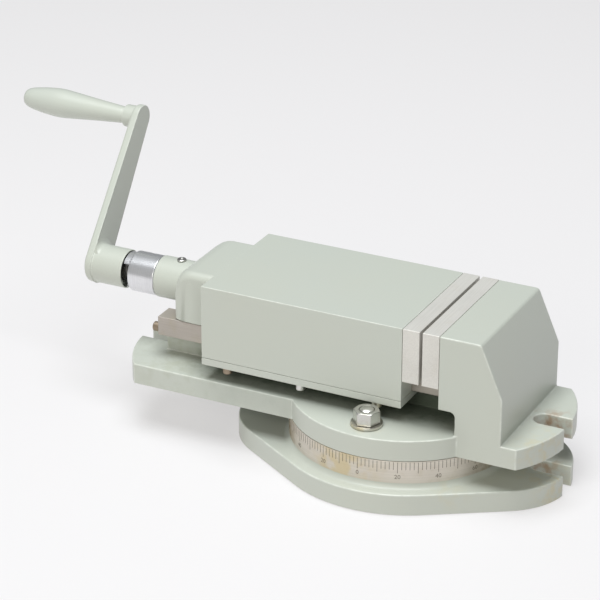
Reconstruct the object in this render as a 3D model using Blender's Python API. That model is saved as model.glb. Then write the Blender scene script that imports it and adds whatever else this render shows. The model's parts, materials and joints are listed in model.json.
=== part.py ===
"""Machine vise with a swivel base, a sliding jaw and a push-to-engage crank.

The frame is +Z up with the origin on the underside of the base, on the swivel axis. The screw runs
along X: the fixed jaw is at +X and the crank at -X. Sizes are in millimetres and are turned into
metres when a mesh becomes an object.
"""

import math

import bmesh
import bpy
from mathutils import Matrix, Vector

MM = 0.001
GAP = 0.3  # clearance left between pieces that touch

# Driving dimensions of the vise, from the width of its jaws.
JAW_WIDTH = 100.0
HALF = JAW_WIDTH / 2
TOTAL_HEIGHT = 119.3

# Swivel base
BASE_THICK = 15.0
BASE_RADIUS = 87.0
LUG_RADIUS = 50.0
LUG_X = 70.0
SLOT_WIDTH = 14.8
LUG_SLOT_X = 101.5
RING_RADIUS = 77.9
RING_FILLET = 4.0
BODY_BOTTOM = 35.1
RING_TOP = BODY_BOTTOM - GAP
BOLT_RADIUS = 60.3  # of the circle that the clamp bolts turn on
TEE_NECK = 5.4
TEE_HALF = 9.3
TEE_FLOOR = 18.0
TEE_LIP = 27.0
PIVOT_RADIUS = 10.0
PIVOT_FLOOR = 12.0
PIVOT_TOP = 46.0
RELIEF_RADII = (32.0, 66.0)  # of the shallow ring cut in the underside
RELIEF_DEPTH = 3.0

# Body: flange disc and tongues, web, rails and fixed jaw
PLATE_TOP = 50.0
END_ARC = 80.0
RIGHT_CORNER_X = 101.5
LEFT_CORNER_X = -181.5
BODY_SLOT_RIGHT_X = 101.5
BODY_SLOT_LEFT_X = -181.4
BED_END_X = -172.0
RAIL_HALF = 32.0
RAIL_INNER = 16.0
RAIL_BOTTOM = 66.6
RAIL_TOP = 80.4
STOP_SCREW_PLACE = (28.0, 70.6)  # y and z of the stop screws in the rails' ends
STOP_SCREW_HEAD = (3.4, 4.6)
STOP_SCREW_SHANK = (2.0, 10.0)
STOP_SCREW_SOCKET = 1.7
WEB_HALF = 19.0
SEAT_X = 46.2
JAW_BACK_X = 74.9
JAW_HEEL_X = 90.6
JAW_HEEL_Z = 83.0
COLUMN_X = 57.8
COLUMN_ARC = 3.6

# Jaw plates and their screws
PLATE_BOTTOM = 81.1
PLATE_THICK = 11.95
JAW_SCREW_Y = 28.0
JAW_SCREW_Z = 100.0
JAW_SCREW_HEAD = (6.5, 8.0)  # radius, height
JAW_SCREW_SHANK = (4.0, 20.0)  # radius, length
JAW_SCREW_SOCKET = 3.4  # radius of a screw's hexagonal recess, here and below
JAW_HOLE_DEPTH = 18.0

# Moving jaw
BLOCK_LEFT_X = -128.4
BLOCK_RIGHT_X = 19.6
SKIRT_INNER = 32.4
CAVITY_X = (-122.0, 6.0)
CAVITY_HALF = 17.3
CAVITY_TOP = 109.6
BOSS_LEFT_X = -159.2
BOSS_SHOULDER = 13.7  # length of its rounded end
BOSS_HALF = 33.0
BOSS_TOP = 118.2
BOSS_CORNER = 5.0
BOSS_FOOT_Z = 81.2
BOSS_NARROWING = 3.7  # how much the outer end is narrower on each side
BOSS_DROP = 11.0  # and how much lower
BOSS_SOFTENING = 9.0  # and how much rounder its corners are
SLEEVE_LEFT_X = -185.0
SLEEVE_RADIUS = 14.7
OILER_X = -170.0
OILER_RADIUS = 2.4

# Gib strips, which hook the jaw under the rails
GIB_BOTTOM = 61.3
GIB_INNER = 20.5
GIB_SCREW_Y = 45.0
GIB_SCREW_X = (-111.0, -56.0, 0.0)
GIB_SCREW_HEAD = (3.3, 4.6)
GIB_SCREW_SHANK = (2.0, 15.0)
GIB_SCREW_SOCKET = 1.7
GIB_HOLE_DEPTH = 14.0

# Screw, nut and clutch
SCREW_Z = 95.3
AXIS = (0.0, 0.0, SCREW_Z)  # a point on the screw's axis
SCREW_ORIGIN = (-150.0, 0.0, SCREW_Z)  # the origin of the pieces that turn on that axis
THREAD_RADIUS = 10.0
JOURNAL_RADIUS = 9.0
COLLAR_X = (-119.4, -113.4)
COLLAR_RADIUS = 13.0
SCREW_END_X = 2.0
NUT_X = (-106.0, -76.0)
NUT_FOOT_X = (-118.0, -64.0)
NUT_FOOT_TOP = 78.6
NUT_TOP = 108.6
NUT_HALF = 15.6
NUT_SCREW_X = (-112.0, -70.0)
NUT_SCREW_HEAD = (5.0, 6.0)
NUT_SCREW_SHANK = (3.0, 18.0)
NUT_SCREW_SOCKET = 2.5
NUT_HOLE_DEPTH = 14.0
NUT_CHAMFER = 3.0
NUT_SEAT_Z = 72.3
CLUTCH_X = (-206.3, -185.3)
CLUTCH_RADIUS = 14.3
SEAT_RADIUS = 8.0
SPIGOT_RADIUS = 7.0
SPIGOT_END_X = -231.0
DOG_RADII = (10.2, 12.8)
DOG_HEIGHT = 4.6
DOG_ANGLE = math.radians(100)  # from +Y towards +Z
DOG_HALF_ANGLE = math.radians(40)
LUG_HALF_ANGLE = math.radians(40)
PIN_X = -195.8
PIN_RADIUS = 2.0
PIN_ANGLE = math.radians(63)  # from +Y towards +Z

# Crank and grip
HUB_X = (-241.3, -211.6)
HUB_RADIUS = 13.8
HUB_SOCKET = (13.1, 5.6)  # radius, depth
HUB_SPRING_X = -224.0
HUB_WASHER_X = -230.7
HUB_COUNTERBORE = 10.2
END_SCREW_HEAD = (5.0, 5.0)
END_SCREW_SHANK = (3.0, 12.0)
END_SCREW_SOCKET = 2.5
END_WASHER_THICK = 1.5
SPRING_RADIUS = 8.6  # of the wire's middle
SPRING_WIRE = 0.6
SPRING_TURNS = 5
ARM_X = (-241.3, -235.2)
ARM_TILT = math.radians(37)  # of the arm back from upright, at rest
ARM_LENGTH = 108.0
ARM_HUB_RADIUS = HUB_RADIUS + 0.25
ARM_END_RADIUS = 9.5
ARM_ROUND = 2.6
ARM_COLLAR_RADIUS = 8.0
COLLAR_LEFT_X = -249.1
GRIP_X = (-332.2, -249.4)
STUD_RADIUS = 4.0
STUD_LEFT_X = -318.0
STUD_SKIN = 1.5  # left of the arm over the stud's end
SNAP_X = -314.0
SNAP_RADII = (3.4, 5.2)
# The grip's outline as (distance from its small end, radius)
GRIP_SHAPE = [
    (0.0, 5.6), (3.0, 6.1), (20.0, 7.5), (37.0, 9.1), (52.0, 10.4),
    (62.0, 9.9), (70.0, 8.9), (77.0, 7.6), (81.0, 6.0), (82.4, 4.2), (82.8, 0.0),
]

# Clamp bolts of the swivel
BOLT_R = 5.0
WASHER = (10.8, 1.8)  # radius, thickness
NUT_ACROSS = 16.0
NUT_HEIGHT = 9.0
NUT_TURN = math.radians(11)
BOLT_TOP = 62.6

ROUND = 48  # sides of a large round piece
SMALL_ROUND = 24


def clear_scene():
    for obj in list(bpy.data.objects):
        bpy.data.objects.remove(obj, do_unlink=True)


def make_material(name, colour, roughness, metallic):
    material = bpy.data.materials.new(name)
    material.use_nodes = True
    shader = material.node_tree.nodes["Principled BSDF"]
    shader.inputs["Base Color"].default_value = (*colour, 1.0)
    shader.inputs["Roughness"].default_value = roughness
    shader.inputs["Metallic"].default_value = metallic
    return material


def make_materials():
    return {
        "enamel": make_material("enamel", (0.55, 0.57, 0.52), 0.45, 0.0),
        "jaw_steel": make_material("jaw_steel", (0.78, 0.77, 0.74), 0.35, 1.0),
        "bright_steel": make_material("bright_steel", (0.62, 0.6, 0.57), 0.35, 1.0),
        "chrome": make_material("chrome", (0.85, 0.86, 0.88), 0.08, 1.0),
        "dark_steel": make_material("dark_steel", (0.16, 0.16, 0.16), 0.5, 1.0),
        "bronze": make_material("bronze", (0.6, 0.42, 0.2), 0.4, 1.0),
    }


def arc(centre, radius, start, end, steps):
    """Points of a circular arc in a plane, from start to end in radians."""
    angles = [start + (end - start) * i / steps for i in range(steps + 1)]
    return [(centre[0] + radius * math.cos(a), centre[1] + radius * math.sin(a)) for a in angles]


def circle(centre, radius, steps):
    return arc(centre, radius, 0.0, 2 * math.pi, steps)[:-1]


def prism(outline, low, high, plane="XY"):
    """A bmesh of a closed outline, extruded from low to high along the plane's normal."""
    place = {
        "XY": lambda a, b, c: (a, b, c),
        "XZ": lambda a, b, c: (a, c, b),
        "YZ": lambda a, b, c: (c, a, b),
    }[plane]
    bm = bmesh.new()
    face = bm.faces.new([bm.verts.new(place(a, b, low)) for a, b in outline])
    moved = bmesh.ops.extrude_face_region(bm, geom=[face])["geom"]
    shift = Vector(place(0.0, 0.0, high - low))
    bmesh.ops.translate(bm, verts=[v for v in moved if isinstance(v, bmesh.types.BMVert)], vec=shift)
    bmesh.ops.recalc_face_normals(bm, faces=bm.faces)
    return bm


def box(x_span, y_span, z_span):
    (x0, x1), (y0, y1) = x_span, y_span
    return prism([(x0, y0), (x1, y0), (x1, y1), (x0, y1)], *z_span)


def turned(profile, steps=ROUND, axis="Z", centre=(0.0, 0.0, 0.0)):
    """A closed profile of (radius, height) points, turned about an axis through centre."""
    bm = bmesh.new()
    verts = [bm.verts.new((r, 0.0, h)) for r, h in profile]
    loop = verts + verts[:1]
    edges = [bm.edges.new(pair) for pair in zip(loop, loop[1:]) if any(v.co.x > 0 for v in pair)]
    bmesh.ops.spin(
        bm, geom=verts + edges, cent=(0, 0, 0), axis=(0, 0, 1), angle=2 * math.pi, steps=steps, use_merge=True
    )
    bmesh.ops.remove_doubles(bm, verts=bm.verts, dist=1e-4)
    poles = [v for v in bm.verts if v.co.xy.length < 1e-4]
    flat = [v for v in poles if all(abs(e.other_vert(v).co.z - v.co.z) < 1e-4 for e in v.link_edges)]
    bmesh.ops.dissolve_verts(bm, verts=flat)
    if axis == "X":
        bmesh.ops.rotate(bm, verts=bm.verts, matrix=Matrix.Rotation(math.pi / 2, 3, "Y"))
    bmesh.ops.translate(bm, verts=bm.verts, vec=Vector(centre))
    bmesh.ops.recalc_face_normals(bm, faces=bm.faces)
    return bm


def rod(radius, start, end, steps=SMALL_ROUND, chamfer=0.0):
    """A cylinder between two points, with optional chamfers."""
    start, end = Vector(start), Vector(end)
    length = (end - start).length
    profile = [(0.0, 0.0), (radius - chamfer, 0.0)]
    if chamfer:
        profile += [(radius, chamfer), (radius, length - chamfer)]
    profile += [(radius - chamfer, length), (0.0, length)]
    bm = turned(profile, steps)
    turn = Vector((0, 0, 1)).rotation_difference(end - start).to_matrix()
    bmesh.ops.rotate(bm, verts=bm.verts, matrix=turn)
    bmesh.ops.translate(bm, verts=bm.verts, vec=start)
    return bm


def add_object(name, bm, material, origin=(0.0, 0.0, 0.0)):
    """Makes an object of a bmesh in millimetres, with its origin at a point given in the same."""
    bmesh.ops.translate(bm, verts=bm.verts, vec=-Vector(origin))
    bmesh.ops.scale(bm, verts=bm.verts, vec=(MM, MM, MM))
    mesh = bpy.data.meshes.new(name)
    bm.to_mesh(mesh)
    bm.free()
    obj = bpy.data.objects.new(name, mesh)
    obj.location = Vector(origin) * MM
    bpy.context.scene.collection.objects.link(obj)
    if material:
        mesh.materials.append(material)
    mesh.shade_smooth()
    mesh.set_sharp_from_angle(angle=math.radians(30))
    return obj


def combine(obj, bm, operation, label):
    """Adds a Boolean modifier with a hidden helper object made of the bmesh."""
    helper = add_object(f"{obj.name}.{label}", bm, None)
    helper.hide_render = True
    helper.display_type = "WIRE"
    modifier = obj.modifiers.new(label, "BOOLEAN")
    modifier.operation = operation
    modifier.object = helper
    modifier.solver = "EXACT"
    return helper


def cut(obj, bm, label):
    return combine(obj, bm, "DIFFERENCE", label)


def fuse(obj, bm, label):
    return combine(obj, bm, "UNION", label)


def open_slot(centre_x, outward, low, high):
    """A cutter for a slot with a round inner end, open towards the outward side."""
    radius = SLOT_WIDTH / 2
    reach = centre_x + outward * 30.0
    turn = math.pi / 2 if outward > 0 else -math.pi / 2
    outline = arc((centre_x, 0.0), radius, turn, turn + math.pi, 16)
    outline += [(reach, -radius * outward), (reach, radius * outward)]
    return prism(outline, low, high)


def lobed_outline():
    """The base's outline: a disc drawn out on tangent lines to a rounder lug at each end."""
    side = math.acos((BASE_RADIUS - LUG_RADIUS) / LUG_X)
    points = arc((LUG_X, 0.0), LUG_RADIUS, -side, side, 24)
    points += arc((0.0, 0.0), BASE_RADIUS, side, math.pi - side, 24)
    points += arc((-LUG_X, 0.0), LUG_RADIUS, math.pi - side, math.pi + side, 24)
    points += arc((0.0, 0.0), BASE_RADIUS, math.pi + side, 2 * math.pi - side, 24)
    return points


def make_swivel_base(material):
    base = add_object("swivel_base", prism(lobed_outline(), 0.0, BASE_THICK), material)
    foot = RING_RADIUS + RING_FILLET
    fillet = arc((foot, BASE_THICK + RING_FILLET), RING_FILLET, -math.pi / 2, -math.pi, 4)
    tee = [
        (BOLT_RADIUS + TEE_NECK, RING_TOP),
        (BOLT_RADIUS + TEE_NECK, TEE_LIP),
        (BOLT_RADIUS + TEE_HALF, TEE_LIP),
        (BOLT_RADIUS + TEE_HALF, TEE_FLOOR),
        (BOLT_RADIUS - TEE_HALF, TEE_FLOOR),
        (BOLT_RADIUS - TEE_HALF, TEE_LIP),
        (BOLT_RADIUS - TEE_NECK, TEE_LIP),
        (BOLT_RADIUS - TEE_NECK, RING_TOP),
    ]
    bore = PIVOT_RADIUS + GAP
    ring = [(0.0, BASE_THICK / 2), (foot, BASE_THICK / 2), *fillet, (RING_RADIUS, RING_TOP), *tee]
    ring += [(bore, RING_TOP), (bore, PIVOT_FLOOR), (0.0, PIVOT_FLOOR)]
    fuse(base, turned(ring, 2 * ROUND), "ring")
    bore_cut = rod(bore, (0, 0, PIVOT_FLOOR), (0, 0, BASE_THICK + 1), ROUND)
    cut(base, bore_cut, "pivot_bore")
    for side, outward in (("right", 1), ("left", -1)):
        cut(base, open_slot(outward * LUG_SLOT_X, outward, -1.0, BASE_THICK + 1), f"slot_{side}")
    entry = rod(TEE_HALF + GAP, (BOLT_RADIUS, 0, TEE_FLOOR), (BOLT_RADIUS, 0, RING_TOP + 1))
    cut(base, entry, "bolt_entry")
    inner, outer = RELIEF_RADII
    relief = [(inner, -1.0), (outer, -1.0), (outer, RELIEF_DEPTH), (inner, RELIEF_DEPTH)]
    cut(base, turned(relief, ROUND), "relief")
    return base


def make_pivot_pin(material):
    pin = rod(PIVOT_RADIUS, (0, 0, PIVOT_FLOOR + GAP), (0, 0, PIVOT_TOP), ROUND, 1.0)
    return add_object("pivot_pin", pin, material)


def plate_outline():
    """The body's plate: a disc with a tongue each way, whose ends are shallow arcs."""
    reach = math.sqrt(END_ARC**2 - HALF**2)
    swing = math.asin(HALF / END_ARC)
    disc = math.asin(HALF / RING_RADIUS)
    right, left = (RIGHT_CORNER_X - reach, 0.0), (LEFT_CORNER_X + reach, 0.0)
    points = arc(right, END_ARC, -swing, swing, 16)
    points += arc((0.0, 0.0), RING_RADIUS, disc, math.pi - disc, 30)
    points += arc(left, END_ARC, math.pi - swing, math.pi + swing, 16)
    points += arc((0.0, 0.0), RING_RADIUS, math.pi + disc, 2 * math.pi - disc, 30)
    return points


def fixed_jaw_outline():
    """The fixed jaw and its column seen along Y: a face for the jaw plate and a sloping back."""
    nose = 3.0
    slope = math.atan2(TOTAL_HEIGHT - JAW_HEEL_Z, JAW_HEEL_X - JAW_BACK_X)
    turn = math.pi / 2 - slope
    cut_back = nose * math.tan(slope / 2)
    centre = (JAW_BACK_X - cut_back, TOTAL_HEIGHT - nose)
    points = [(SEAT_X, RAIL_BOTTOM)]
    points += arc((COLUMN_X - COLUMN_ARC, RAIL_BOTTOM - COLUMN_ARC), COLUMN_ARC, math.pi / 2, 0.0, 5)
    points += [(COLUMN_X, PLATE_TOP - 1), (JAW_HEEL_X, PLATE_TOP - 1), (JAW_HEEL_X, JAW_HEEL_Z)]
    points += arc(centre, nose, turn, math.pi / 2, 4)
    points += [(SEAT_X, TOTAL_HEIGHT)]
    return points


def make_body(material):
    body = add_object("vise_body", prism(plate_outline(), BODY_BOTTOM, PLATE_TOP), material)
    fuse(body, box((BED_END_X, COLUMN_X + 2), (-WEB_HALF, WEB_HALF), (PLATE_TOP - 1, RAIL_BOTTOM + 1)), "web")
    fuse(body, box((BED_END_X, COLUMN_X + 2), (-RAIL_HALF, RAIL_HALF), (RAIL_BOTTOM, RAIL_TOP)), "rails")
    fuse(body, prism(fixed_jaw_outline(), -HALF, HALF, "XZ"), "fixed_jaw")
    channel = box((BED_END_X - 1, SEAT_X), (-RAIL_INNER, RAIL_INNER), (RAIL_BOTTOM, RAIL_TOP + 1))
    cut(body, channel, "channel")
    low, high = BODY_BOTTOM - 1, PLATE_TOP + 1
    cut(body, open_slot(BODY_SLOT_RIGHT_X, 1, low, high), "slot_right")
    cut(body, open_slot(BODY_SLOT_LEFT_X, -1, low, high), "slot_left")
    bore = rod(PIVOT_RADIUS + GAP, (0, 0, BODY_BOTTOM - 1), (0, 0, PIVOT_TOP + 0.5), ROUND)
    cut(body, bore, "pivot_bore")
    for side, y in (("front", -BOLT_RADIUS), ("rear", BOLT_RADIUS)):
        cut(body, rod(BOLT_R + 0.4, (0, y, low), (0, y, high)), f"clamp_hole_{side}")
    for side, y in (("front", -JAW_SCREW_Y), ("rear", JAW_SCREW_Y)):
        start, end = (SEAT_X - 1, y, JAW_SCREW_Z), (SEAT_X + JAW_HOLE_DEPTH, y, JAW_SCREW_Z)
        cut(body, rod(JAW_SCREW_SHANK[0] + GAP, start, end, 16), f"jaw_hole_{side}")
    for label, x in zip("ab", NUT_SCREW_X):
        low, high = RAIL_BOTTOM - NUT_HOLE_DEPTH, RAIL_BOTTOM + 1
        hole = rod(NUT_SCREW_SHANK[0] + GAP, (x, 0, low), (x, 0, high), 16)
        cut(body, hole, f"nut_hole_{label}")
    return body


def make_stop_screws(body, material):
    """The screws in the rails' ends that keep the jaw from being wound off the bed."""
    radius, length = STOP_SCREW_SHANK
    across, z = STOP_SCREW_PLACE
    for side, y in (("front", -across), ("rear", across)):
        end = (BED_END_X + length + 2, y, z)
        cut(body, rod(radius + GAP, (BED_END_X - 1, y, z), end, 16), f"stop_hole_{side}")
        place = (BED_END_X - GAP, y, z)
        name = f"stop_screw_{side}"
        add_cap_screw(name, STOP_SCREW_HEAD, STOP_SCREW_SHANK, STOP_SCREW_SOCKET, place, (1, 0, 0), material)


def boss_section(x, half_width, top, corner):
    """Points of an arch in a plane across X, from its foot at -Y over to its foot at +Y."""
    foot = BOSS_FOOT_Z
    points = [(x, -half_width, foot)]
    for centre, start in ((-1, math.pi), (1, math.pi / 2)):
        middle = (centre * (half_width - corner), top - corner)
        points += [(x, a, b) for a, b in arc(middle, corner, start, start - math.pi / 2, 8)]
    points += [(x, half_width, foot)]
    return points


def make_boss():
    """The screw's boss behind the jaw block: an arch whose outer end is rounded all round."""
    points = boss_section(CAVITY_X[0] - 3, BOSS_HALF, BOSS_TOP, BOSS_CORNER)
    steps = 6
    for i in range(steps + 1):
        angle = math.pi / 2 * (1 - i / steps)
        fall = 1 - math.cos(angle)
        x = BOSS_LEFT_X + BOSS_SHOULDER * (1 - math.sin(angle))
        narrow, low = BOSS_HALF - BOSS_NARROWING * fall, BOSS_TOP - BOSS_DROP * fall
        points += boss_section(x, narrow, low, BOSS_CORNER + BOSS_SOFTENING * fall)
    bm = bmesh.new()
    for point in points:
        bm.verts.new(point)
    made = bmesh.ops.convex_hull(bm, input=bm.verts)
    spare = made["geom_interior"] + made["geom_unused"]
    bmesh.ops.delete(bm, geom=[v for v in spare if isinstance(v, bmesh.types.BMVert)], context="VERTS")
    bmesh.ops.recalc_face_normals(bm, faces=bm.faces)
    return bm


def make_moving_jaw(material):
    skirt_bottom = RAIL_BOTTOM
    roof = RAIL_TOP + GAP
    outline = [
        (HALF, TOTAL_HEIGHT),
        (-HALF, TOTAL_HEIGHT),
        (-HALF, skirt_bottom),
        (-SKIRT_INNER, skirt_bottom),
        (-SKIRT_INNER, roof),
        (SKIRT_INNER, roof),
        (SKIRT_INNER, skirt_bottom),
        (HALF, skirt_bottom),
    ]
    jaw = add_object("moving_jaw", prism(outline, BLOCK_LEFT_X, BLOCK_RIGHT_X, "YZ"), material)
    fuse(jaw, make_boss(), "boss")
    sleeve = rod(SLEEVE_RADIUS, (SLEEVE_LEFT_X, 0, SCREW_Z), (CAVITY_X[0] - 2, 0, SCREW_Z), ROUND)
    fuse(jaw, sleeve, "sleeve")
    cavity = box(CAVITY_X, (-CAVITY_HALF, CAVITY_HALF), (RAIL_TOP - 5, CAVITY_TOP))
    cut(jaw, cavity, "cavity")
    bore = rod(JOURNAL_RADIUS + 0.4, (SLEEVE_LEFT_X - 1, 0, SCREW_Z), (CAVITY_X[0] + 1, 0, SCREW_Z), ROUND)
    cut(jaw, bore, "bore")
    for side, y in (("front", -JAW_SCREW_Y), ("rear", JAW_SCREW_Y)):
        start, end = (BLOCK_RIGHT_X - JAW_HOLE_DEPTH, y, JAW_SCREW_Z), (BLOCK_RIGHT_X + 1, y, JAW_SCREW_Z)
        cut(jaw, rod(JAW_SCREW_SHANK[0] + GAP, start, end, 16), f"jaw_hole_{side}")
    for side, y in (("front", -GIB_SCREW_Y), ("rear", GIB_SCREW_Y)):
        for number, x in enumerate(GIB_SCREW_X, 1):
            low, high = skirt_bottom - 1, skirt_bottom + GIB_HOLE_DEPTH
            hole = rod(GIB_SCREW_SHANK[0] + GAP, (x, y, low), (x, y, high), 16)
            cut(jaw, hole, f"gib_hole_{side}_{number}")
    oil_way = rod(OILER_RADIUS + GAP, (OILER_X, 0, SCREW_Z), (OILER_X, 0, SCREW_Z + SLEEVE_RADIUS + 2), 16)
    cut(jaw, oil_way, "oil_way")
    return jaw


def make_jaw_plate(name, low_x, material, head_side):
    """A jaw plate; head_side is +1 where its screw heads sit in the +X face, -1 in the -X face."""
    top = TOTAL_HEIGHT
    high_x = low_x + PLATE_THICK
    plate = add_object(name, box((low_x, high_x), (-HALF, HALF), (PLATE_BOTTOM, top)), material)
    radius, height = JAW_SCREW_HEAD
    face = high_x if head_side > 0 else low_x
    for side, y in (("front", -JAW_SCREW_Y), ("rear", JAW_SCREW_Y)):
        through = rod(JAW_SCREW_SHANK[0] + GAP, (low_x - 1, y, JAW_SCREW_Z), (high_x + 1, y, JAW_SCREW_Z), 16)
        cut(plate, through, f"hole_{side}")
        seat = (face - head_side * (height + 1), y, JAW_SCREW_Z)
        cut(plate, rod(radius + GAP, (face + head_side, y, JAW_SCREW_Z), seat), f"seat_{side}")
    return plate


def cap_screw(head, shank, socket):
    """A socket cap screw along -Z: its head's underside is at the origin and its shank below."""
    (head_radius, height), (radius, length) = head, shank
    profile = [
        (0.0, -length),
        (radius - 0.6, -length),
        (radius, 0.6 - length),
        (radius, 0.0),
        (head_radius, 0.0),
        (head_radius, height - 0.5),
        (head_radius - 0.5, height),
    ]
    return turned(profile + [(0.0, height)], 24), prism(circle((0, 0), socket, 6), height * 0.45, height + 1)


def add_cap_screw(name, head, shank, socket, place, direction, material):
    """Places a cap screw with the underside of its head at place and its shank along direction."""
    body, recess = cap_screw(head, shank, socket)
    turn = Vector((0, 0, -1)).rotation_difference(Vector(direction)).to_matrix()
    for bm in (body, recess):
        bmesh.ops.rotate(bm, verts=bm.verts, matrix=turn)
        bmesh.ops.translate(bm, verts=bm.verts, vec=Vector(place))
    screw = add_object(name, body, material)
    cut(screw, recess, "socket")
    return screw


def make_jaw_screws(material):
    height = JAW_SCREW_HEAD[1]
    faces = {
        "moving": (BLOCK_RIGHT_X + GAP + PLATE_THICK, 1),
        "fixed": (SEAT_X - GAP - PLATE_THICK, -1),
    }
    for jaw, (face, head_side) in faces.items():
        for side, y in (("front", -JAW_SCREW_Y), ("rear", JAW_SCREW_Y)):
            place = (face - head_side * (height + 0.7), y, JAW_SCREW_Z)
            name = f"jaw_screw_{jaw}_{side}"
            turn = (-head_side, 0, 0)
            add_cap_screw(name, JAW_SCREW_HEAD, JAW_SCREW_SHANK, JAW_SCREW_SOCKET, place, turn, material)


def make_gibs(enamel, dark):
    top = RAIL_BOTTOM - GAP
    for side, sign in (("front", -1), ("rear", 1)):
        span = sorted((sign * GIB_INNER, sign * HALF))
        strip = box((BLOCK_LEFT_X, BLOCK_RIGHT_X), span, (GIB_BOTTOM, top))
        gib = add_object(f"gib_strip_{side}", strip, enamel)
        for number, x in enumerate(GIB_SCREW_X, 1):
            y = sign * GIB_SCREW_Y
            hole = rod(GIB_SCREW_SHANK[0] + GAP, (x, y, GIB_BOTTOM - 1), (x, y, top + 1), 16)
            cut(gib, hole, f"hole_{number}")
            name = f"gib_screw_{side}_{number}"
            place = (x, y, GIB_BOTTOM - GAP)
            add_cap_screw(name, GIB_SCREW_HEAD, GIB_SCREW_SHANK, GIB_SCREW_SOCKET, place, (0, 0, 1), dark)


def make_nut_screws(material):
    for label, x in zip("ab", NUT_SCREW_X):
        place = (x, 0, NUT_SEAT_Z)
        name = f"nut_screw_{label}"
        add_cap_screw(name, NUT_SCREW_HEAD, NUT_SCREW_SHANK, NUT_SCREW_SOCKET, place, (0, 0, -1), material)


def make_lead_nut(material):
    """The nut that the screw turns in: a block on a foot that is bolted between the rails."""
    foot = RAIL_BOTTOM + GAP
    outline = [
        (NUT_FOOT_X[0], foot),
        (NUT_FOOT_X[1], foot),
        (NUT_FOOT_X[1], NUT_FOOT_TOP),
        (NUT_X[1], NUT_FOOT_TOP),
        (NUT_X[1], NUT_TOP - NUT_CHAMFER),
        (NUT_X[1] - NUT_CHAMFER, NUT_TOP),
        (NUT_X[0] + NUT_CHAMFER, NUT_TOP),
        (NUT_X[0], NUT_TOP - NUT_CHAMFER),
        (NUT_X[0], NUT_FOOT_TOP),
        (NUT_FOOT_X[0], NUT_FOOT_TOP),
    ]
    nut = add_object("lead_nut", prism(outline, -NUT_HALF, NUT_HALF, "XZ"), material)
    bore = rod(THREAD_RADIUS + GAP, (NUT_X[0] - 1, 0, SCREW_Z), (NUT_X[1] + 1, 0, SCREW_Z), 32)
    cut(nut, bore, "thread")
    for label, x in zip("ab", NUT_SCREW_X):
        through = rod(NUT_SCREW_SHANK[0] + GAP, (x, 0, foot - 1), (x, 0, NUT_FOOT_TOP + 1), 16)
        cut(nut, through, f"hole_{label}")
        seat = rod(NUT_SCREW_HEAD[0] + GAP, (x, 0, NUT_SEAT_Z - GAP), (x, 0, NUT_FOOT_TOP + 1))
        cut(nut, seat, f"seat_{label}")
    return nut


def make_lead_screw(material):
    """The screw: crank spigot, clutch seat, journal, thrust collar and thread, from -X to +X."""
    left_end = SPIGOT_END_X
    profile = [
        (0.0, left_end),
        (SPIGOT_RADIUS - 0.8, left_end),
        (SPIGOT_RADIUS, left_end + 0.8),
        (SPIGOT_RADIUS, CLUTCH_X[0] - GAP),
        (SEAT_RADIUS, CLUTCH_X[0] - GAP),
        (SEAT_RADIUS, CLUTCH_X[1] + GAP),
        (JOURNAL_RADIUS, CLUTCH_X[1] + GAP),
        (JOURNAL_RADIUS, COLLAR_X[0]),
        (COLLAR_RADIUS, COLLAR_X[0]),
        (COLLAR_RADIUS, COLLAR_X[1]),
        (THREAD_RADIUS - 1.5, COLLAR_X[1]),
        (THREAD_RADIUS - 1.5, COLLAR_X[1] + 3),
        (THREAD_RADIUS, COLLAR_X[1] + 4.5),
        (THREAD_RADIUS, SCREW_END_X - 1.5),
        (THREAD_RADIUS - 1.5, SCREW_END_X),
        (0.0, SCREW_END_X),
    ]
    screw = add_object("lead_screw", turned(profile, 32, "X", AXIS), material, SCREW_ORIGIN)
    end_hole = rod(END_SCREW_SHANK[0] + GAP, along_screw(left_end - 1), along_screw(left_end + 14), 16)
    cut(screw, end_hole, "end_hole")
    cut(screw, pin_rod(PIN_RADIUS + GAP, CLUTCH_RADIUS + 2), "pin_hole")
    return screw


def along_screw(x):
    return (x, 0.0, SCREW_Z)


def pin_rod(radius, reach):
    across, up = reach * math.cos(PIN_ANGLE), reach * math.sin(PIN_ANGLE)
    return rod(radius, (PIN_X, -across, SCREW_Z - up), (PIN_X, across, SCREW_Z + up), 16)


def make_thrust_washer(material):
    inner, outer = JOURNAL_RADIUS + GAP, COLLAR_RADIUS
    left, right = CAVITY_X[0] + GAP, COLLAR_X[0] - GAP
    profile = [(inner, left), (outer, left), (outer, right), (inner, right)]
    return add_object("thrust_washer", turned(profile, 32, "X", AXIS), material, SCREW_ORIGIN)


def sector(radii, middle, half_angle, x_span):
    """A block bent round the screw's axis: a sector of a ring, extruded along X."""
    start, end = middle - half_angle, middle + half_angle
    outline = arc((0.0, SCREW_Z), radii[1], start, end, 10)
    outline += arc((0.0, SCREW_Z), radii[0], end, start, 10)
    return prism(outline, *x_span, "YZ")


def make_clutch_ring(material):
    """The bright ring pinned on the screw, with two dogs that face the crank."""
    left, right = CLUTCH_X
    bore = SEAT_RADIUS + GAP
    outer = CLUTCH_RADIUS
    edge = 0.8
    profile = [
        (bore, left),
        (outer - edge, left),
        (outer, left + edge),
        (outer, right - edge),
        (outer - edge, right),
        (bore, right),
    ]
    ring = add_object("clutch_ring", turned(profile, ROUND, "X", AXIS), material, SCREW_ORIGIN)
    for number in range(2):
        middle = DOG_ANGLE + number * math.pi
        dog = sector(DOG_RADII, middle, DOG_HALF_ANGLE, (left - DOG_HEIGHT, left + 1))
        fuse(ring, dog, f"dog_{number}")
    cut(ring, pin_rod(PIN_RADIUS + GAP, CLUTCH_RADIUS + 2), "pin_hole")
    return ring


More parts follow.
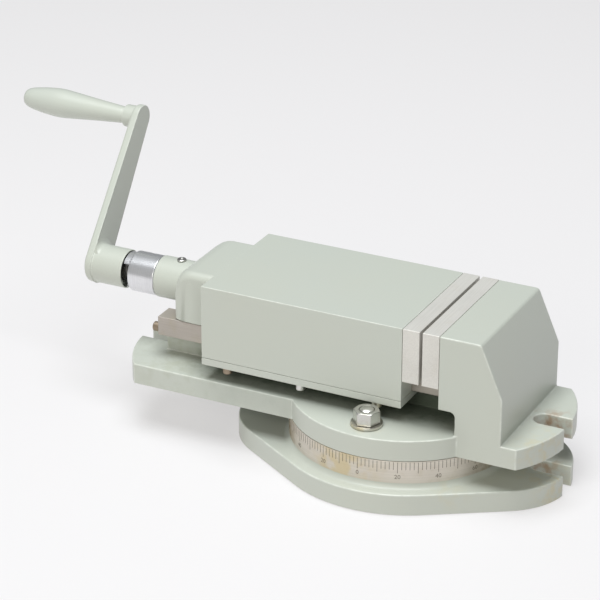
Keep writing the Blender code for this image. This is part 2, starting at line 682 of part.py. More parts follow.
def arm_point(along, across=0.0):
    """The (y, z) of a point on the crank, along its arm from the screw's axis and across it."""
    sine, cosine = math.sin(ARM_TILT), math.cos(ARM_TILT)
    return (along * sine + across * cosine, SCREW_Z + along * cosine - across * sine)


def arm_outline():
    """The arm seen along X: a circle at the hub and one at the end, joined by their tangents."""
    hub, end = ARM_HUB_RADIUS, ARM_END_RADIUS
    side = math.acos((hub - end) / ARM_LENGTH)
    points = arc((0.0, 0.0), hub, side, 2 * math.pi - side, 30)
    points += arc((ARM_LENGTH, 0.0), end, -side, side, 20)
    return [arm_point(along, across) for along, across in points]


def make_arm():
    """The arm's flat bar, with the edges of its outer face well rounded."""
    left, right = ARM_X
    bm = prism(arm_outline(), left, right, "YZ")
    rim = [e for e in bm.edges if all(abs(v.co.x - left) < 1e-4 for v in e.verts)]
    bmesh.ops.bevel(
        bm, geom=rim, offset=ARM_ROUND, segments=4, profile=0.5, affect="EDGES", clamp_overlap=True
    )
    return bm


def make_crank(material):
    """The crank: a hub that slides on the screw's spigot, an arm, and a collar for the grip."""
    left, right = HUB_X
    inside, face = ARM_X[1] - 1.0, ARM_X[1]
    hub = [(0.0, inside), (HUB_RADIUS, inside), (HUB_RADIUS, right), (0.0, right)]
    crank = add_object("crank", make_arm(), material, SCREW_ORIGIN)
    fuse(crank, turned(hub, ROUND, "X", AXIS), "hub")
    end_y, end_z = arm_point(ARM_LENGTH)
    collar = rod(ARM_COLLAR_RADIUS, (ARM_X[0] + 1, end_y, end_z), (COLLAR_LEFT_X, end_y, end_z), 32, 0.6)
    fuse(crank, collar, "collar")
    counterbore = HUB_COUNTERBORE
    socket_radius, socket_depth = HUB_SOCKET
    bore = SPIGOT_RADIUS + GAP
    inner = [
        (0.0, left - 1),
        (counterbore, left - 1),
        (counterbore, HUB_WASHER_X),
        (bore, HUB_WASHER_X),
        (bore, HUB_SPRING_X),
        (DOG_RADII[0], HUB_SPRING_X),
        (DOG_RADII[0], right - socket_depth),
        (socket_radius, right - socket_depth),
        (socket_radius, right + 1),
        (0.0, right + 1),
    ]
    cut(crank, turned(inner, ROUND, "X", AXIS), "bore")
    for number in range(2):
        middle = DOG_ANGLE + math.pi / 2 + number * math.pi
        radii = (DOG_RADII[0] + 0.3, socket_radius + 0.3)
        lug = sector(radii, middle, LUG_HALF_ANGLE, (right - socket_depth - 1, right - 1.2))
        fuse(crank, lug, f"lug_{number}")
    stud_hole = rod(STUD_RADIUS + GAP, (face - STUD_SKIN, end_y, end_z), (COLLAR_LEFT_X - 1, end_y, end_z))
    cut(crank, stud_hole, "stud_hole")
    return crank


def make_crank_fastening(material):
    """The washer and screw on the spigot's end that keep the crank from sliding off."""
    washer_right = SPIGOT_END_X - GAP
    washer_left = washer_right - END_WASHER_THICK
    inner, outer = END_SCREW_SHANK[0] + GAP, HUB_COUNTERBORE - 0.6
    profile = [(inner, washer_left), (outer, washer_left), (outer, washer_right), (inner, washer_right)]
    add_object("crank_washer", turned(profile, 32, "X", AXIS), material, SCREW_ORIGIN)
    place = along_screw(washer_left - GAP)
    turn = (1, 0, 0)
    add_cap_screw("crank_screw", END_SCREW_HEAD, END_SCREW_SHANK, END_SCREW_SOCKET, place, turn, material)


def make_clutch_spring(material):
    """The coil that holds the crank away from the clutch: a helix round the spigot."""
    start, end = HUB_SPRING_X + SPRING_WIRE + GAP, CLUTCH_X[0] - SPRING_WIRE - GAP
    steps = 14 * SPRING_TURNS
    curve = bpy.data.curves.new("clutch_spring", "CURVE")
    curve.dimensions = "3D"
    curve.bevel_depth = SPRING_WIRE * MM
    curve.bevel_resolution = 1
    curve.use_fill_caps = True
    spline = curve.splines.new("POLY")
    spline.points.add(steps)
    for i, point in enumerate(spline.points):
        turn = 2 * math.pi * SPRING_TURNS * i / steps
        x = start + (end - start) * i / steps - SCREW_ORIGIN[0]
        y, z = SPRING_RADIUS * math.cos(turn), SPRING_RADIUS * math.sin(turn)
        point.co = (x * MM, y * MM, z * MM, 1.0)
    spring = bpy.data.objects.new("clutch_spring", curve)
    spring.location = Vector(SCREW_ORIGIN) * MM
    curve.materials.append(material)
    bpy.context.scene.collection.objects.link(spring)


def smooth_profile(points, steps):
    """A Catmull-Rom curve through points of (along, radius)."""
    padded = [points[0], *points, points[-1]]
    result = []
    for a, b, c, d in zip(padded, padded[1:], padded[2:], padded[3:]):
        for i in range(steps):
            t = i / steps
            spot = []
            for p, q, r, s in zip(a, b, c, d):
                bend = (2 * p - 5 * q + 4 * r - s) * t * t + (3 * q - p - 3 * r + s) * t**3
                spot.append(0.5 * (2 * q + (r - p) * t + bend))
            result.append(tuple(spot))
    return result + [points[-1]]


def make_grip(grip_material, steel):
    """The revolving grip, the stud it turns on and the snap ring that keeps it there."""
    end_y, end_z = arm_point(ARM_LENGTH)
    spindle = (0.0, end_y, end_z)
    free_end, small_end = GRIP_X
    shape = smooth_profile(GRIP_SHAPE, 3)
    bore, groove = STUD_RADIUS + GAP, SNAP_RADII[1] + GAP
    outer = [(radius, small_end - along) for along, radius in shape]
    inner = [
        (0.0, STUD_LEFT_X - 1.0),
        (bore, STUD_LEFT_X - 1.0),
        (bore, SNAP_X - 1.0),
        (groove, SNAP_X - 1.0),
        (groove, SNAP_X + 1.0),
        (bore, SNAP_X + 1.0),
        (bore, small_end),
    ]
    grip = turned(outer + inner, 32, "X", spindle)
    add_object("handle_grip", grip, grip_material, (small_end, end_y, end_z))
    neck = SNAP_RADII[0] - GAP
    stud = [
        (0.0, STUD_LEFT_X),
        (STUD_RADIUS - 0.6, STUD_LEFT_X),
        (STUD_RADIUS, STUD_LEFT_X + 0.6),
        (STUD_RADIUS, SNAP_X - 0.8),
        (neck, SNAP_X - 0.8),
        (neck, SNAP_X + 0.8),
        (STUD_RADIUS, SNAP_X + 0.8),
        (STUD_RADIUS, ARM_X[1] - STUD_SKIN - GAP),
        (0.0, ARM_X[1] - STUD_SKIN - GAP),
    ]
    add_object("grip_stud", turned(stud, 24, "X", spindle), steel, (small_end, end_y, end_z))
    gap = math.radians(20)
    ring = arc((end_y, end_z), SNAP_RADII[1], gap, 2 * math.pi - gap, 24)
    ring += arc((end_y, end_z), SNAP_RADII[0], 2 * math.pi - gap, gap, 24)
    snap = prism(ring, SNAP_X - 0.5, SNAP_X + 0.5, "YZ")
    add_object("grip_snap_ring", snap, steel, (small_end, end_y, end_z))


def make_clamp(side, y, steel, dark):
    """One swivel clamp: a bolt whose square head slides in the base, with its washer and nut."""
    half = TEE_HALF - 0.8
    head = [(-half, y - half), (half, y - half), (half, y + half), (-half, y + half)]
    head_top = TEE_LIP - GAP
    bolt = add_object(f"clamp_bolt_{side}", prism(head, TEE_FLOOR + 1.5, head_top), dark, (0, y, 0))
    dome = 1.4
    shank = [(0.0, head_top - 2), (BOLT_R, head_top - 2), (BOLT_R, BOLT_TOP - dome)]
    shank += [(BOLT_R * 0.72, BOLT_TOP - dome * 0.35), (0.0, BOLT_TOP)]
    fuse(bolt, turned(shank, SMALL_ROUND, "Z", (0, y, 0)), "shank")
    radius, thick = WASHER
    hole = BOLT_R + GAP
    low = PLATE_TOP + GAP
    ring = [(hole, low), (radius, low), (radius, low + thick), (hole, low + thick)]
    add_object(f"clamp_washer_{side}", turned(ring, 32, "Z", (0, y, 0)), steel, (0, y, 0))
    low += thick + GAP
    corner = NUT_ACROSS / math.sqrt(3)
    turn = Matrix.Rotation(NUT_TURN, 2)
    hexagon = [turn @ Vector(point) for point in circle((0, 0), corner, 6)]
    block = prism([(p.x, p.y + y) for p in hexagon], low, low + NUT_HEIGHT)
    nut = add_object(f"clamp_nut_{side}", block, steel, (0, y, 0))
    top = low + NUT_HEIGHT
    crown = [(0.0, low - 1), (corner + 1, low - 1), (corner + 1, top - 1.5)]
    crown += [(NUT_ACROSS / 2 - 0.3, top + 0.02), (0.0, top + 0.02)]
    combine(nut, turned(crown, 32, "Z", (0, y, 0)), "INTERSECT", "crown")
    cut(nut, rod(hole, (0, y, low - 2), (0, y, top + 1)), "thread")


def make_oiler(material):
    low = SCREW_Z + JOURNAL_RADIUS + 1.0
    seat = SCREW_Z + SLEEVE_RADIUS + GAP
    profile = [
        (0.0, low),
        (OILER_RADIUS, low),
        (OILER_RADIUS, seat),
        (OILER_RADIUS + 0.9, seat),
        (OILER_RADIUS + 0.9, seat + 0.6),
        (OILER_RADIUS + 0.4, seat + 1.1),
        (1.5, seat + 1.1),
        (1.2, seat + 0.5),
        (0.0, seat + 0.9),
    ]
    add_object("ball_oiler", turned(profile, 20, "Z", (OILER_X, 0, 0)), material)


def main():
    clear_scene()
    finish = make_materials()
    make_swivel_base(finish["enamel"])
    make_pivot_pin(finish["bright_steel"])
    body = make_body(finish["enamel"])
    make_stop_screws(body, finish["bronze"])
    for side, y in (("front", -BOLT_RADIUS), ("rear", BOLT_RADIUS)):
        make_clamp(side, y, finish["bright_steel"], finish["dark_steel"])
    make_lead_nut(finish["bronze"])
    make_nut_screws(finish["dark_steel"])
    make_moving_jaw(finish["enamel"])
    make_gibs(finish["enamel"], finish["dark_steel"])
    make_jaw_plate("jaw_plate_moving", BLOCK_RIGHT_X + GAP, finish["jaw_steel"], 1)
    make_jaw_plate("jaw_plate_fixed", SEAT_X - GAP - PLATE_THICK, finish["jaw_steel"], -1)
    make_jaw_screws(finish["dark_steel"])
    make_oiler(finish["chrome"])
    make_thrust_washer(finish["bronze"])
    make_lead_screw(finish["bright_steel"])
    make_clutch_ring(finish["chrome"])
    pin = pin_rod(PIN_RADIUS, CLUTCH_RADIUS - 0.4)
    add_object("ring_pin", pin, finish["dark_steel"], SCREW_ORIGIN)
    make_clutch_spring(finish["dark_steel"])
    make_crank(finish["enamel"])
    make_crank_fastening(finish["dark_steel"])
    make_grip(finish["enamel"], finish["bright_steel"])


if __name__ == "__main__":
    main()
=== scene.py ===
"""Looks of a machine vise: rounded castings, enamel, ground and stained steel, and the dial's marks."""

import json
import logging
import math
from collections.abc import Callable
from dataclasses import dataclass
from enum import Enum

import bmesh
import bpy
from mathutils import Matrix, Vector

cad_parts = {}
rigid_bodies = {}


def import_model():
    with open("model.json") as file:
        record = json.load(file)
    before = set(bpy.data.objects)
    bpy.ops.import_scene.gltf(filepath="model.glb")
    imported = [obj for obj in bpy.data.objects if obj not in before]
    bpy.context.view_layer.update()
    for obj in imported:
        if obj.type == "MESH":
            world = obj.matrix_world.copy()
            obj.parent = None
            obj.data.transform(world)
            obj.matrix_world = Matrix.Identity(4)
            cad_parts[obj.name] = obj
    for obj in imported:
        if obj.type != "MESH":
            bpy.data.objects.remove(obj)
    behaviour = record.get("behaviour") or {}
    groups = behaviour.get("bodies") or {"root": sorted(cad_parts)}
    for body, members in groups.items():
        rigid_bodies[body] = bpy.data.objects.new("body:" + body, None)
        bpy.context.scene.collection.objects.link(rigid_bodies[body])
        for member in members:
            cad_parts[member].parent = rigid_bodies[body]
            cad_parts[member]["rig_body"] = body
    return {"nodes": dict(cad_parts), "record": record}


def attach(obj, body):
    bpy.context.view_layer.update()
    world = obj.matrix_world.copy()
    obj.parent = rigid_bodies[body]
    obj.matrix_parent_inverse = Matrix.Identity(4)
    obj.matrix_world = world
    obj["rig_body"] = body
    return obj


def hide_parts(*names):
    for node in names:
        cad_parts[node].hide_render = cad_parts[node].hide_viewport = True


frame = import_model()

LOG = logging.getLogger("machine_vise")
MM = 0.001
# mesh attribute for paler edge paint: part worn paint, part painted highlight
EDGE_WEAR_AND_HIGHLIGHT = "edge_wear_and_highlight"
Colour = tuple[float, float, float, float]
Test = Callable[[Vector], bool]


class Value:
    """A node's output socket that Python's arithmetic works on, each step adding a Math node."""

    def __init__(self, graph: "Graph", socket: bpy.types.NodeSocket) -> None:
        """Wraps a socket of a graph."""
        self.graph = graph
        self.socket = socket

    def __add__(self, other: "Value | float") -> "Value":
        """The sum."""
        return self.graph.math("ADD", self, other)

    def __radd__(self, other: float) -> "Value":
        """The sum with a number on the left."""
        return self.graph.math("ADD", other, self)

    def __sub__(self, other: "Value | float") -> "Value":
        """The difference."""
        return self.graph.math("SUBTRACT", self, other)

    def __rsub__(self, other: float) -> "Value":
        """A number less this."""
        return self.graph.math("SUBTRACT", other, self)

    def __mul__(self, other: "Value | float") -> "Value":
        """The product."""
        return self.graph.math("MULTIPLY", self, other)

    def __rmul__(self, other: float) -> "Value":
        """The product with a number on the left."""
        return self.graph.math("MULTIPLY", other, self)

    def step(self, low: float, high: float) -> "Value":
        """A smooth mask that rises from 0 at low to 1 at high.

        Args:
            low: the value at which the mask is 0.
            high: the value at which the mask is 1, above low.

        Returns:
            The mask.
        """
        settings = {"interpolation_type": "SMOOTHSTEP"}
        return self.graph.node("ShaderNodeMapRange", settings, {0: self, 1: low, 2: high})

    def larger(self, other: "Value | float") -> "Value":
        """The larger of the two."""
        return self.graph.math("MAXIMUM", self, other)


class Graph:
    """A material's node tree, with one method that adds any node."""

    def __init__(self, name: str) -> None:
        """Makes an empty material.

        Args:
            name: the material's name.
        """
        self.material = bpy.data.materials.new(name)
        self.material.use_nodes = True
        self.tree = self.material.node_tree
        self.tree.nodes.clear()

    def node(
        self, kind: str, settings: dict | None = None, sockets: dict | None = None, output: int | str = 0
    ) -> Value:
        """Adds a node.

        Args:
            kind: the node's type.
            settings: the node's own settings, which are set first.
            sockets: values or links by socket name or number.
            output: the output socket's name or number.

        Returns:
            That output.
        """
        made = self.tree.nodes.new(kind)
        for key, value in (settings or {}).items():
            setattr(made, key, value)
        for key, value in (sockets or {}).items():
            if isinstance(value, Value):
                self.tree.links.new(value.socket, made.inputs[key])
            else:
                made.inputs[key].default_value = value
        return Value(self, made.outputs[output])

    def math(self, operation: str, first: Value | float, second: Value | float) -> Value:
        """Adds a Math node."""
        return self.node("ShaderNodeMath", {"operation": operation}, {0: first, 1: second})

    def place(self, scale: tuple[float, float, float] = (1.0, 1.0, 1.0)) -> Value:
        """The piece's own coordinates in metres, scaled."""
        own = self.node("ShaderNodeTexCoord", output="Object")
        return self.node("ShaderNodeMapping", None, {"Vector": own, "Scale": scale})

    def distance(self, centre: tuple[float, float, float]) -> Value:
        """The distance of the surface from a point, in metres."""
        joined = {0: self.place(), 1: centre}
        return self.node("ShaderNodeVectorMath", {"operation": "DISTANCE"}, joined, "Value")

    def noise(self, scale: float, detail: float = 3.0, stretch: tuple = (1.0, 1.0, 1.0)) -> Value:
        """A noise from 0 to 1 over the piece's coordinates.

        Args:
            scale: how many features a metre holds.
            detail: the number of finer layers.
            stretch: a factor for each axis; a small one draws the noise out along that axis.

        Returns:
            The noise.
        """
        sockets = {"Vector": self.place(stretch), "Scale": scale, "Detail": detail, "Roughness": 0.55}
        return self.node("ShaderNodeTexNoise", None, sockets)

    def mix(self, factor: Value | float, first: Value | Colour, second: Value | Colour) -> Value:
        """A blend of two colours."""
        return self.node("ShaderNodeMix", {"data_type": "RGBA"}, {0: factor, 6: first, 7: second}, 2)

    def attribute(self, name: str) -> Value:
        """A number that the mesh carries."""
        return self.node("ShaderNodeAttribute", {"attribute_name": name}, None, "Fac")

    def bump(self, height: Value, depth: float) -> Value:
        """A normal raised by a height from 0 to 1, as deep as depth in metres."""
        return self.node("ShaderNodeBump", None, {"Height": height, "Distance": depth, "Strength": 1.0})

    def surface(self, **sockets: Value | float | Colour) -> bpy.types.Material:
        """Ends the graph with a Principled BSDF.

        Args:
            sockets: values or links, with an underscore for each space in a socket's name.

        Returns:
            The finished material.
        """
        named = {key.replace("_", " "): value for key, value in sockets.items()}
        shader = self.node("ShaderNodeBsdfPrincipled", None, named)
        end = self.tree.nodes.new("ShaderNodeOutputMaterial")
        self.tree.links.new(shader.socket, end.inputs["Surface"])
        return self.material


@dataclass(frozen=True)
class Stain:
    """A coloured patch round a point, used for real stain patches and for painted shade; broken runs from 0,
    an even patch, to 1, a patchy one.
    """

    centre: tuple[float, float, float]
    reach: float
    colour: Colour
    strength: float = 0.7
    broken: float = 1.0
    core: float = 0.2

    def near(self, graph: Graph) -> Value:
        """A mask that is 1 in the patch's core, a share of its reach, and fades to 0 at the reach."""
        return 1.0 - graph.distance(self.centre).step(self.reach * self.core, self.reach)


@dataclass(frozen=True)
class Enamel:
    """Satin machine enamel: nearly even, with a fine peel, pale edges that are part worn paint and part
    painted highlight, and patches of stain and of painted shade.
    """

    name: str = "grey_green_enamel"
    colour: Colour = (0.535, 0.562, 0.505, 1.0)
    warm: Colour = (0.545, 0.555, 0.475, 1.0)
    # pale cream for rounded edges: part worn paint, part painted highlight
    edge: Colour = (0.76, 0.78, 0.72, 1.0)
    speck: Colour = (0.28, 0.30, 0.24, 1.0)
    roughness: float = 0.36
    peel_depth: float = 0.03 * MM
    coat: float = 0.2
    coat_roughness: float = 0.25
    stains: tuple[Stain, ...] = ()

    def make(self) -> bpy.types.Material:
        """Builds the material.

        Returns:
            The enamel.
        """
        graph = Graph(self.name)
        cloud = graph.noise(9.0, 3.0)
        tone = graph.mix(cloud.step(0.25, 0.8) * 0.45, self.colour, self.warm)
        fleck = graph.noise(650.0, 2.0).step(0.7, 0.8) * graph.noise(30.0, 2.0).step(0.4, 0.7)
        tone = graph.mix(fleck * 0.22, tone, self.speck)
        # paler edges: a quarter on every edge is painted highlight, the rest comes in noisy worn patches
        rub_and_highlight = graph.attribute(EDGE_WEAR_AND_HIGHLIGHT) * (0.25 + 0.75 * graph.noise(140.0, 3.0).step(0.35, 0.65))
        tone = graph.mix(rub_and_highlight * 0.55, tone, self.edge)
        dirt_and_shade: Value | float = 0.0
        # patches of real stain and of painted shade tint the paint and roughen it
        for stain in self.stains:
            holes = 1.0 - stain.broken * (1.0 - graph.noise(150.0, 4.0).step(0.4, 0.7))
            patch = stain.near(graph) * holes * stain.strength
            tone = graph.mix(patch, tone, stain.colour)
            dirt_and_shade = patch + dirt_and_shade
        peel = graph.noise(380.0, 2.0) + 0.4 * graph.noise(1400.0, 1.0)
        gloss = self.roughness + 0.08 * cloud + 0.25 * dirt_and_shade
        return graph.surface(
            Base_Color=tone,
            Roughness=gloss,
            Normal=graph.bump(peel, self.peel_depth),
            Coat_Weight=self.coat,
            Coat_Roughness=self.coat_roughness,
        )


class Grain(Enum):
    """Which way a metal's tool marks run, as the noise's stretch along each axis."""

    ALONG_X = (0.02, 1.0, 1.0)
    ALONG_Y = (1.0, 0.02, 1.0)
    ROUND_X = (1.0, 0.015, 0.015)
    ROUND_Z = (0.015, 0.015, 1.0)
    NONE = (1.0, 1.0, 1.0)


@dataclass(frozen=True)
class Metal:
    """Bare metal with tool marks, a cloudy surface, stain patches where it is old, and any patches of painted
    shade it is given.
    """

    name: str
    colour: Colour
    roughness: float
    grain: Grain = Grain.NONE
    marks: float = 0.02 * MM
    metallic: float = 1.0
    dulling: float = 0.82
    stain: Colour = (0.45, 0.32, 0.14, 1.0)
    stained: float = 0.0
    stains: tuple[Stain, ...] = ()

    def make(self) -> bpy.types.Material:
        """Builds the material.

        Returns:
            The metal.
        """
        graph = Graph(self.name)
        lines = graph.noise(1400.0, 2.0, self.grain.value)
        cloud = graph.noise(45.0, 4.0)
        dull = tuple(level * self.dulling for level in self.colour[:3]) + (1.0,)
        tone = graph.mix(lines.step(0.35, 0.7) * 0.4 + cloud.step(0.35, 0.7) * 0.3, self.colour, dull)
        patch = graph.noise(90.0, 4.0).step(0.5, 0.72) * self.stained
        tone = graph.mix(patch, tone, self.stain)
        # patches of real stain and of painted shade
        for stain in self.stains:
            spot = stain.near(graph) * graph.noise(110.0, 3.0).step(0.3, 0.6) * stain.strength
            tone = graph.mix(spot, tone, stain.colour)
            patch = patch.larger(spot)
        return graph.surface(
            Base_Color=tone,
            Metallic=self.metallic - 0.5 * patch,
            Roughness=self.roughness + 0.1 * lines + 0.25 * patch,
            Normal=graph.bump(lines, self.marks),
        )


YELLOW = (0.60, 0.50, 0.26, 1.0)
RUST = (0.33, 0.16, 0.06, 1.0)
OLIVE = (0.30, 0.31, 0.18, 1.0)
# near-black green of the painted shade on the web and plate top under the moving jaw
UNDER_JAW_SHADE = (0.085, 0.105, 0.075, 1.0)

ENAMEL = Enamel()
BODY_ENAMEL = Enamel(
    name="body_enamel",
    stains=(
        Stain((0.105, 0.004, 0.040), 0.022, RUST, 0.75),
        Stain((0.112, -0.030, 0.037), 0.030, YELLOW, 0.45),
        Stain((-0.150, -0.022, 0.052), 0.060, OLIVE, 0.25),
        Stain((0.0, -0.0603, 0.050), 0.016, YELLOW, 0.5),
        # painted shade: near-black patches along the web and the plate top under the moving jaw, where the
        # jaw shades them
        *(
            Stain((x * MM, y * MM, 48 * MM), 48 * MM, UNDER_JAW_SHADE, strength=0.9, broken=0.2)
            for y in (-12, 12)
            for x in range(-115, 50, 20)
        ),
    ),
)
BASE_ENAMEL = Enamel(
    name="base_enamel",
    stains=(
        Stain((0.112, -0.010, 0.008), 0.030, YELLOW, 0.5),
        Stain((0.100, 0.004, 0.010), 0.018, RUST, 0.6),
        Stain((0.060, -0.060, 0.016), 0.020, YELLOW, 0.15),
    ),
)
JAW_STEEL = Metal(
    "ground_jaw_steel",
    (0.72, 0.70, 0.655, 1.0),
    0.42,
    Grain.ALONG_Y,
    marks=0.012 * MM,
    metallic=0.25,
    stained=0.05,
)
RAIL_STEEL = Metal(
    "machined_rail",
    (0.50, 0.455, 0.41, 1.0),
    0.45,
    Grain.ALONG_X,
    marks=0.015 * MM,
    metallic=0.6,
    stain=(0.42, 0.36, 0.24, 1.0),
    stained=0.25,
)
DIAL_STEEL = Metal(
    "dial_steel",
    (0.68, 0.63, 0.56, 1.0),
    0.45,
    Grain.ROUND_Z,
    marks=0.012 * MM,
    metallic=0.6,
    stain=(0.52, 0.45, 0.30, 1.0),
    stained=0.25,
    stains=(
        Stain((-0.010, -0.078, 0.027), 0.034, (0.62, 0.50, 0.26, 1.0), 0.6),
        # painted shade: dark brown on the ring's left and right sides, where it turns away from the light
        Stain((-0.070, -0.035, 0.027), 0.040, (0.24, 0.18, 0.08, 1.0), 0.8),
        Stain((0.076, -0.015, 0.027), 0.036, (0.24, 0.20, 0.09, 1.0), 0.8),
    ),
)
BRIGHT = Metal("bright_steel", (0.66, 0.65, 0.62, 1.0), 0.26, marks=0.03 * MM, stained=0.25)
WASHER_STEEL = Metal("washer_steel", (0.64, 0.62, 0.56, 1.0), 0.32, Grain.ROUND_Z, stain=YELLOW, stained=0.5)
CHROME = Metal(
    "polished_ring", (0.80, 0.80, 0.82, 1.0), 0.24, Grain.ROUND_X, marks=0.006 * MM, metallic=0.8
)
TURNED = Metal("turned_steel", (0.55, 0.55, 0.53, 1.0), 0.30, Grain.ROUND_X, stained=0.15)
BLACK = Metal("black_oxide", (0.07, 0.075, 0.07, 1.0), 0.42, stained=0.15)
COPPER = Metal("old_plating", (0.36, 0.29, 0.22, 1.0), 0.42, marks=0.03 * MM, stained=0.3)
BRONZE = Metal("bronze", (0.58, 0.40, 0.18, 1.0), 0.34, stained=0.2)
INK = Metal("dial_ink", (0.20, 0.175, 0.14, 1.0), 0.6, metallic=0.0)


class Paintbox:
    """Makes each finish's material once."""

    def __init__(self) -> None:
        """Starts with no materials."""
        self.made: dict[str, bpy.types.Material] = {}

    def get(self, finish: Enamel | Metal) -> bpy.types.Material:
        """The material of a finish.

        Args:
            finish: the finish.

        Returns:
            Its material, built the first time it is asked for.
        """
        if finish.name not in self.made:
            self.made[finish.name] = finish.make()
        return self.made[finish.name]


@dataclass(frozen=True)
class Zone:
    """Faces that take a finish of their own: those whose middle passes a test."""

    finish: Enamel | Metal
    holds: Test


@dataclass(frozen=True)
class Rounding:
    """How a piece's edges are broken: a width, and other widths where a test holds; 0 leaves them sharp."""

    width: float
    segments: int = 3
    bands: tuple[tuple[Test, float], ...] = ()

    def width_at(self, point: Vector) -> float:
        """The width for an edge whose middle is at a point."""
        for holds, width in self.bands:
            if holds(point):
                return width
        return self.width


class Workshop:
    """Turns frame nodes and bmeshes into finished pieces that ride on their bodies."""

    sharp: float = math.radians(33)
    flat: float = math.radians(0.6)
    coplanar: float = math.cos(math.radians(0.5))
    level: float = 0.01 * MM
    weld: float = 0.002 * MM

    def __init__(self, paint: Paintbox) -> None:
        """Takes the paintbox that pieces are dressed from."""
        self.paint = paint
        self.slots = {part["node"]: part["material_slot"] for part in frame["record"]["subparts"]}

    def add(
        self, name: str, bm: bmesh.types.BMesh, node: str, finishes: list[Enamel | Metal]
    ) -> bpy.types.Object:
        """Makes a piece of a bmesh, riding on the body that a node is in.

        Args:
            name: the piece's name.
            bm: its shape, which is freed.
            node: the node whose body it rides on.
            finishes: the finishes of its material slots.

        Returns:
            The piece.
        """
        mesh = bpy.data.meshes.new(name)
        bm.to_mesh(mesh)
        bm.free()
        piece = bpy.data.objects.new(name, mesh)
        bpy.context.scene.collection.objects.link(piece)
        for finish in finishes:
            mesh.materials.append(self.paint.get(finish))
        mesh.shade_smooth()
        mesh.set_sharp_from_angle(angle=self.sharp)
        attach(piece, frame["nodes"][node]["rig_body"])
        LOG.info("%s: %d faces", name, len(mesh.polygons))
        return piece

    def rounded(
        self, node: str, finish: Enamel | Metal, rounding: Rounding, zones: tuple[Zone, ...] = ()
    ) -> bpy.types.Object:
        """Replaces a node with a copy whose edges are rounded and marked for paler paint, part worn paint and
        part painted highlight.

        Args:
            node: the node.
            finish: the finish of the piece.
            rounding: how its edges are broken.
            zones: faces with a finish of their own.

        Returns:
            The new piece.
        """
        bm = bmesh.new()
        bm.from_mesh(frame["nodes"][node].data)
        bmesh.ops.remove_doubles(bm, verts=bm.verts, dist=self.weld)
        bmesh.ops.dissolve_limit(bm, angle_limit=self.flat, verts=bm.verts, edges=bm.edges)
        self.break_edges(bm, rounding)
        self.refill_flats(bm)
        for face in bm.faces:
            face.material_index = 0
            for number, zone in enumerate(zones, 1):
                if zone.holds(face.calc_center_median()):
                    face.material_index = number
        piece = self.add(f"{node}_finished", bm, node, [finish, *(zone.finish for zone in zones)])
        self.even_normals(piece)
        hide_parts(node)
        return piece

    def break_edges(self, bm: bmesh.types.BMesh, rounding: Rounding) -> None:
        """Bevels a bmesh's sharp edges, narrow widths first, and marks the corners inside a rounding for
        paler paint, part worn paint and part painted highlight.

        Args:
            bm: the shape.
            rounding: the widths.
        """
        edge_wear_and_highlight = bm.verts.layers.float.new(EDGE_WEAR_AND_HIGHLIGHT)
        planned = bm.edges.layers.float.new("width")
        for edge in bm.edges:
            if edge.is_manifold and edge.calc_face_angle() > self.sharp:
                edge[planned] = rounding.width_at((edge.verts[0].co + edge.verts[1].co) / 2)
        for width in sorted({rounding.width, *(width for _, width in rounding.bands)} - {0.0}):
            edges = [e for e in bm.edges if abs(e[planned] - width) < 1e-7]
            outer = any(e.is_convex for e in edges)
            for edge in edges:
                edge[planned] = 0.0
            made = bmesh.ops.bevel(
                bm,
                geom=edges,
                offset=width,
                offset_type="OFFSET",
                segments=rounding.segments,
                profile=0.5,
                affect="EDGES",
                material=-1,
                clamp_overlap=False,
            )
            rounds = set(made["faces"])
            # rounded corners get paler paint: part worn paint, part painted highlight
            for vert in {vert for face in rounds for vert in face.verts}:
                if outer and all(face in rounds for face in vert.link_faces):
                    vert[edge_wear_and_highlight] = 1.0

    def refill_flats(self, bm: bmesh.types.BMesh) -> None:
        """Fills anew every flat region that holds a face of more than four corners.

        A bevel can fold such a face over its seams.

        Args:
            bm: the bevelled shape.
        """
        bm.normal_update()
        waiting = set(bm.faces)
        while waiting:
            region = self.flat_region(waiting.pop(), waiting)
            if max(len(face.verts) for face in region) <= 4:
                continue
            around = [edge for face in region for edge in face.edges]
            rim = [edge for edge in around if around.count(edge) == 1]
            inner = [edge for edge in set(around) if around.count(edge) == 2]
            normal = region[0].normal.copy()
            bmesh.ops.delete(bm, geom=region, context="FACES_ONLY")
            bmesh.ops.delete(bm, geom=inner, context="EDGES")
            bmesh.ops.triangle_fill(bm, edges=rim, use_beauty=True, use_dissolve=False, normal=normal)
        bmesh.ops.recalc_face_normals(bm, faces=bm.faces)

    def flat_region(self, seed: bmesh.types.BMFace, waiting: set) -> list[bmesh.types.BMFace]:
        """Takes from the waiting faces those that lie in one plane with a face and are joined to it.

        Args:
            seed: the face.
            waiting: the faces that may be taken.

        Returns:
            The region, the face among it.
        """
        region, front = [seed], [seed]
        while front:
            face = front.pop()
            for near in {other for edge in face.edges for other in edge.link_faces} & waiting:
                offset = abs((near.calc_center_median() - seed.calc_center_median()).dot(seed.normal))
                if abs(near.normal.dot(seed.normal)) > self.coplanar and offset < self.level:
                    waiting.discard(near)
                    region.append(near)
                    front.append(near)
        return region

    def even_normals(self, piece: bpy.types.Object) -> None:
        """Keeps large flat faces flat in their shading, next to small rounded ones."""
        weighted = piece.modifiers.new("even_normals", "WEIGHTED_NORMAL")
        weighted.keep_sharp = True

    def dress(self, node: str, finish: Enamel | Metal) -> None:
        """Gives a node that stays as it is a finish.

        Args:
            node: the node.
            finish: its finish.
        """
        data = frame["nodes"][node].data
        data.materials.clear()
        data.materials.append(self.paint.get(finish))
        LOG.info("%s dressed", node)


